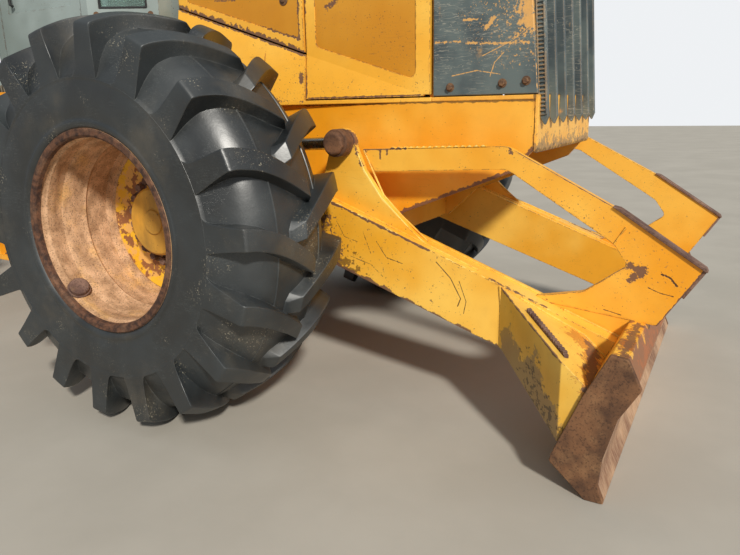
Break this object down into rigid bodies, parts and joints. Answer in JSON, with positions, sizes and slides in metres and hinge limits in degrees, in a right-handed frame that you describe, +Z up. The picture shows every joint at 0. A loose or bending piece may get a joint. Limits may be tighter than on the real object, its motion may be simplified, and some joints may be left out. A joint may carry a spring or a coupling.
{
  "type": "cable log skidder",
  "caption": "Articulated wheeled machine that drags logs: decking blade in front, cab amidships, winch and log arch on the steered rear frame",
  "frame": {"origin": "middle of the bounding box at ground level", "axes": "X forward to the blade, Y to the driver's left, Z up"},
  "size_m": [6.784, 3.034, 3.1626],
  "materials": {
    "yellow_paint": "faded, chipped",
    "grey_paint": "weathered",
    "dark_paint": "satin, scratched",
    "rusted_steel": "rusted",
    "worn_steel": "polished by the ground",
    "rod_chrome": "wiped with oil",
    "cable_steel": "greasy",
    "wheel_paint": "rusted through",
    "tyre_rubber": "dusty",
    "window": "scratched",
    "seat_vinyl": "worn"
  },
  "bodies": {
    "front": {"front_frame": "yellow_paint", "front_axle": "yellow_paint", "belly_guards": "yellow_paint", "nose": "yellow_paint", "grille": "dark_paint", "radiator_panels": "dark_paint", "hood_center": "yellow_paint", "body_ledges": "yellow_paint", "engine_block": "dark_paint", "exhaust_stack": "rusted_steel", "air_cleaner": "dark_paint", "cab_shell": "grey_paint", "cab_roof": "grey_paint", "cab_windows": "window", "operator_seat": "seat_vinyl", "cab_console": "dark_paint", "work_lamps": "dark_paint", "fuel_tank_steps": "yellow_paint", "hydraulic_tank_steps": "yellow_paint"},
    "rear": {"rear_frame": "yellow_paint", "rear_axle": "yellow_paint", "winch_housing": "yellow_paint", "log_arch": "yellow_paint", "fairlead_rollers": "worn_steel", "butt_plate": "yellow_paint", "rear_fenders": "yellow_paint"},
    "blade": {"lift_arm_right": "yellow_paint", "lift_arm_left": "yellow_paint", "brace_right": "yellow_paint", "brace_left": "yellow_paint", "moldboard": "yellow_paint", "wing_gussets": "rusted_steel", "cutting_edge": "worn_steel"},
    "lift_barrels": {"lift_barrels": "yellow_paint"},
    "lift_rods": {"lift_rods": "rod_chrome"},
    "drum": {"winch_drum": "cable_steel"},
    "wheel_front_right": {"rim_front_right": "wheel_paint", "tyre_front_right": "tyre_rubber"},
    "wheel_rear_right": {"rim_rear_right": "wheel_paint", "tyre_rear_right": "tyre_rubber"},
    "steer_barrel_right": {"steer_barrel_right": "yellow_paint"},
    "steer_rod_right": {"steer_rod_right": "rod_chrome"},
    "door_right_front": {"door_right_front": "yellow_paint"},
    "door_right_rear": {"door_right_rear": "yellow_paint"},
    "cab_door_right": {"cab_door_right": "grey_paint"},
    "wheel_front_left": {"rim_front_left": "wheel_paint", "tyre_front_left": "tyre_rubber"},
    "wheel_rear_left": {"rim_rear_left": "wheel_paint", "tyre_rear_left": "tyre_rubber"},
    "steer_barrel_left": {"steer_barrel_left": "yellow_paint"},
    "steer_rod_left": {"steer_rod_left": "rod_chrome"},
    "door_left_front": {"door_left_front": "yellow_paint"},
    "door_left_rear": {"door_left_rear": "yellow_paint"},
    "cab_door_left": {"cab_door_left": "grey_paint"}
  },
  "joints": [
    {"name": "steering", "type": "hinge", "parent": "front", "child": "rear", "pos_m": [-0.562, 0, 0.875], "axis": [0, 0, 1], "range_deg": [-40, 40]},
    {"name": "blade_lift", "type": "hinge", "parent": "front", "child": "blade", "pos_m": [1.558, 0, 0.88], "axis": [0, -1, 0], "range_deg": [-7, 35]},
    {"name": "lift_barrel_swing", "type": "hinge", "parent": "front", "child": "lift_barrels", "pos_m": [0.788, 0, 1.19], "axis": [0, -1, 0], "range_deg": [-3, 10]},
    {"name": "lift_rod_stroke", "type": "slide", "parent": "lift_barrels", "child": "lift_rods", "axis": [0.9991, 0, 0.0412], "range_m": [-0.25, 0.055]},
    {"name": "drum_turn", "type": "hinge", "parent": "rear", "child": "drum", "pos_m": [-1.882, 0, 1.56], "axis": [0, 1, 0], "continuous": true},
    {"name": "wheel_front_right_spin", "type": "hinge", "parent": "front", "child": "wheel_front_right", "pos_m": [1.138, -1.205, 0.895], "axis": [0, 1, 0], "continuous": true},
    {"name": "wheel_rear_right_spin", "type": "hinge", "parent": "rear", "child": "wheel_rear_right", "pos_m": [-2.262, -1.205, 0.895], "axis": [0, 1, 0], "continuous": true},
    {"name": "steer_barrel_right_swing", "type": "hinge", "parent": "front", "child": "steer_barrel_right", "pos_m": [0.388, -0.42, 0.875], "axis": [0, 0, 1], "range_deg": [-9, 9]},
    {"name": "steer_rod_right_stroke", "type": "slide", "parent": "steer_barrel_right", "child": "steer_rod_right", "axis": [-0.9999, 0.0167, 0], "range_m": [-0.285, 0.285]},
    {"name": "door_right_front_swing", "type": "hinge", "parent": "front", "child": "door_right_front", "pos_m": [1.888, -0.36, 2.102], "axis": [-1, 0, 0], "range_deg": [0, 60]},
    {"name": "door_right_rear_swing", "type": "hinge", "parent": "front", "child": "door_right_rear", "pos_m": [1.138, -0.36, 2.102], "axis": [-1, 0, 0], "range_deg": [0, 60]},
    {"name": "cab_door_right_swing", "type": "hinge", "parent": "front", "child": "cab_door_right", "pos_m": [0.348, -0.836, 1.31], "axis": [0, 0, 1], "range_deg": [0, 80]},
    {"name": "wheel_front_left_spin", "type": "hinge", "parent": "front", "child": "wheel_front_left", "pos_m": [1.138, 1.205, 0.895], "axis": [0, 1, 0], "continuous": true},
    {"name": "wheel_rear_left_spin", "type": "hinge", "parent": "rear", "child": "wheel_rear_left", "pos_m": [-2.262, 1.205, 0.895], "axis": [0, 1, 0], "continuous": true},
    {"name": "steer_barrel_left_swing", "type": "hinge", "parent": "front", "child": "steer_barrel_left", "pos_m": [0.388, 0.42, 0.875], "axis": [0, 0, 1], "range_deg": [-9, 9]},
    {"name": "steer_rod_left_stroke", "type": "slide", "parent": "steer_barrel_left", "child": "steer_rod_left", "axis": [-0.9999, -0.0167, 0], "range_m": [-0.285, 0.285]},
    {"name": "door_left_front_swing", "type": "hinge", "parent": "front", "child": "door_left_front", "pos_m": [1.888, 0.36, 2.102], "axis": [1, 0, 0], "range_deg": [0, 60]},
    {"name": "door_left_rear_swing", "type": "hinge", "parent": "front", "child": "door_left_rear", "pos_m": [1.138, 0.36, 2.102], "axis": [1, 0, 0], "range_deg": [0, 60]},
    {"name": "cab_door_left_swing", "type": "hinge", "parent": "front", "child": "cab_door_left", "pos_m": [0.348, 0.836, 1.31], "axis": [0, 0, -1], "range_deg": [0, 80]}
  ],
  "couplings": [
    {"joint": "lift_barrel_swing", "follows": "blade_lift", "ratio": 0.2675},
    {"joint": "lift_rod_stroke", "follows": "blade_lift", "m_per_rad": -0.3919},
    {"joint": "steer_barrel_right_swing", "follows": "steering", "ratio": 0.2011},
    {"joint": "steer_rod_right_stroke", "follows": "steering", "m_per_rad": -0.396},
    {"joint": "steer_barrel_left_swing", "follows": "steering", "ratio": 0.2011},
    {"joint": "steer_rod_left_stroke", "follows": "steering", "m_per_rad": 0.396}
  ]
}
